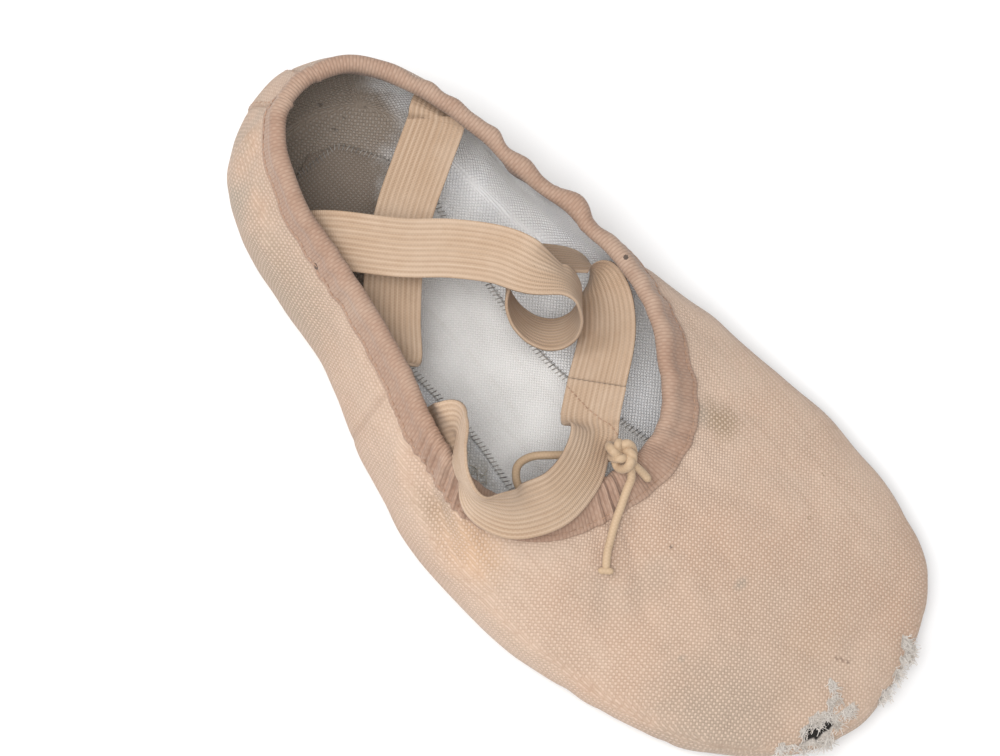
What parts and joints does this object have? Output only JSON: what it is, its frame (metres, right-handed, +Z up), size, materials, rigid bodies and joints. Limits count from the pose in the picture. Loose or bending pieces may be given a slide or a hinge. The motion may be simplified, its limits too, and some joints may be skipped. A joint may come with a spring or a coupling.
{
  "type": "ballet slipper",
  "caption": "Soft split-sole ballet slipper in worn cotton canvas with suede sole patches, a bound drawstring collar and crossed elastic straps.",
  "frame": {"origin": "on the floor under the middle of the slipper's box", "axes": "+Z up, +Y towards the toe, +X towards the outer side of the right foot"},
  "size_m": [0.1156, 0.24, 0.062],
  "materials": {
    "canvas": "plain-weave cotton canvas, peach, worn and dirty",
    "binding": "finely ribbed cotton tape, pink beige",
    "suede": "grey-green suede, black with floor dirt",
    "insole": "off-white cotton twill with an overlocked edge",
    "elastic": "ribbed knitted elastic, tan, slightly glossy",
    "drawstring": "smooth cream elastic cord"
  },
  "bodies": {
    "root": {"upper": "canvas", "binding": "binding", "sole_forefoot": "suede", "sole_heel": "suede", "insole": "insole", "strap_cross": "elastic", "strap_long": "elastic", "strap_front": "elastic", "cord_knot": "drawstring", "cord_loop": "drawstring", "cord_long_end": "drawstring", "cord_short_end": "drawstring"}
  },
  "joints": []
}
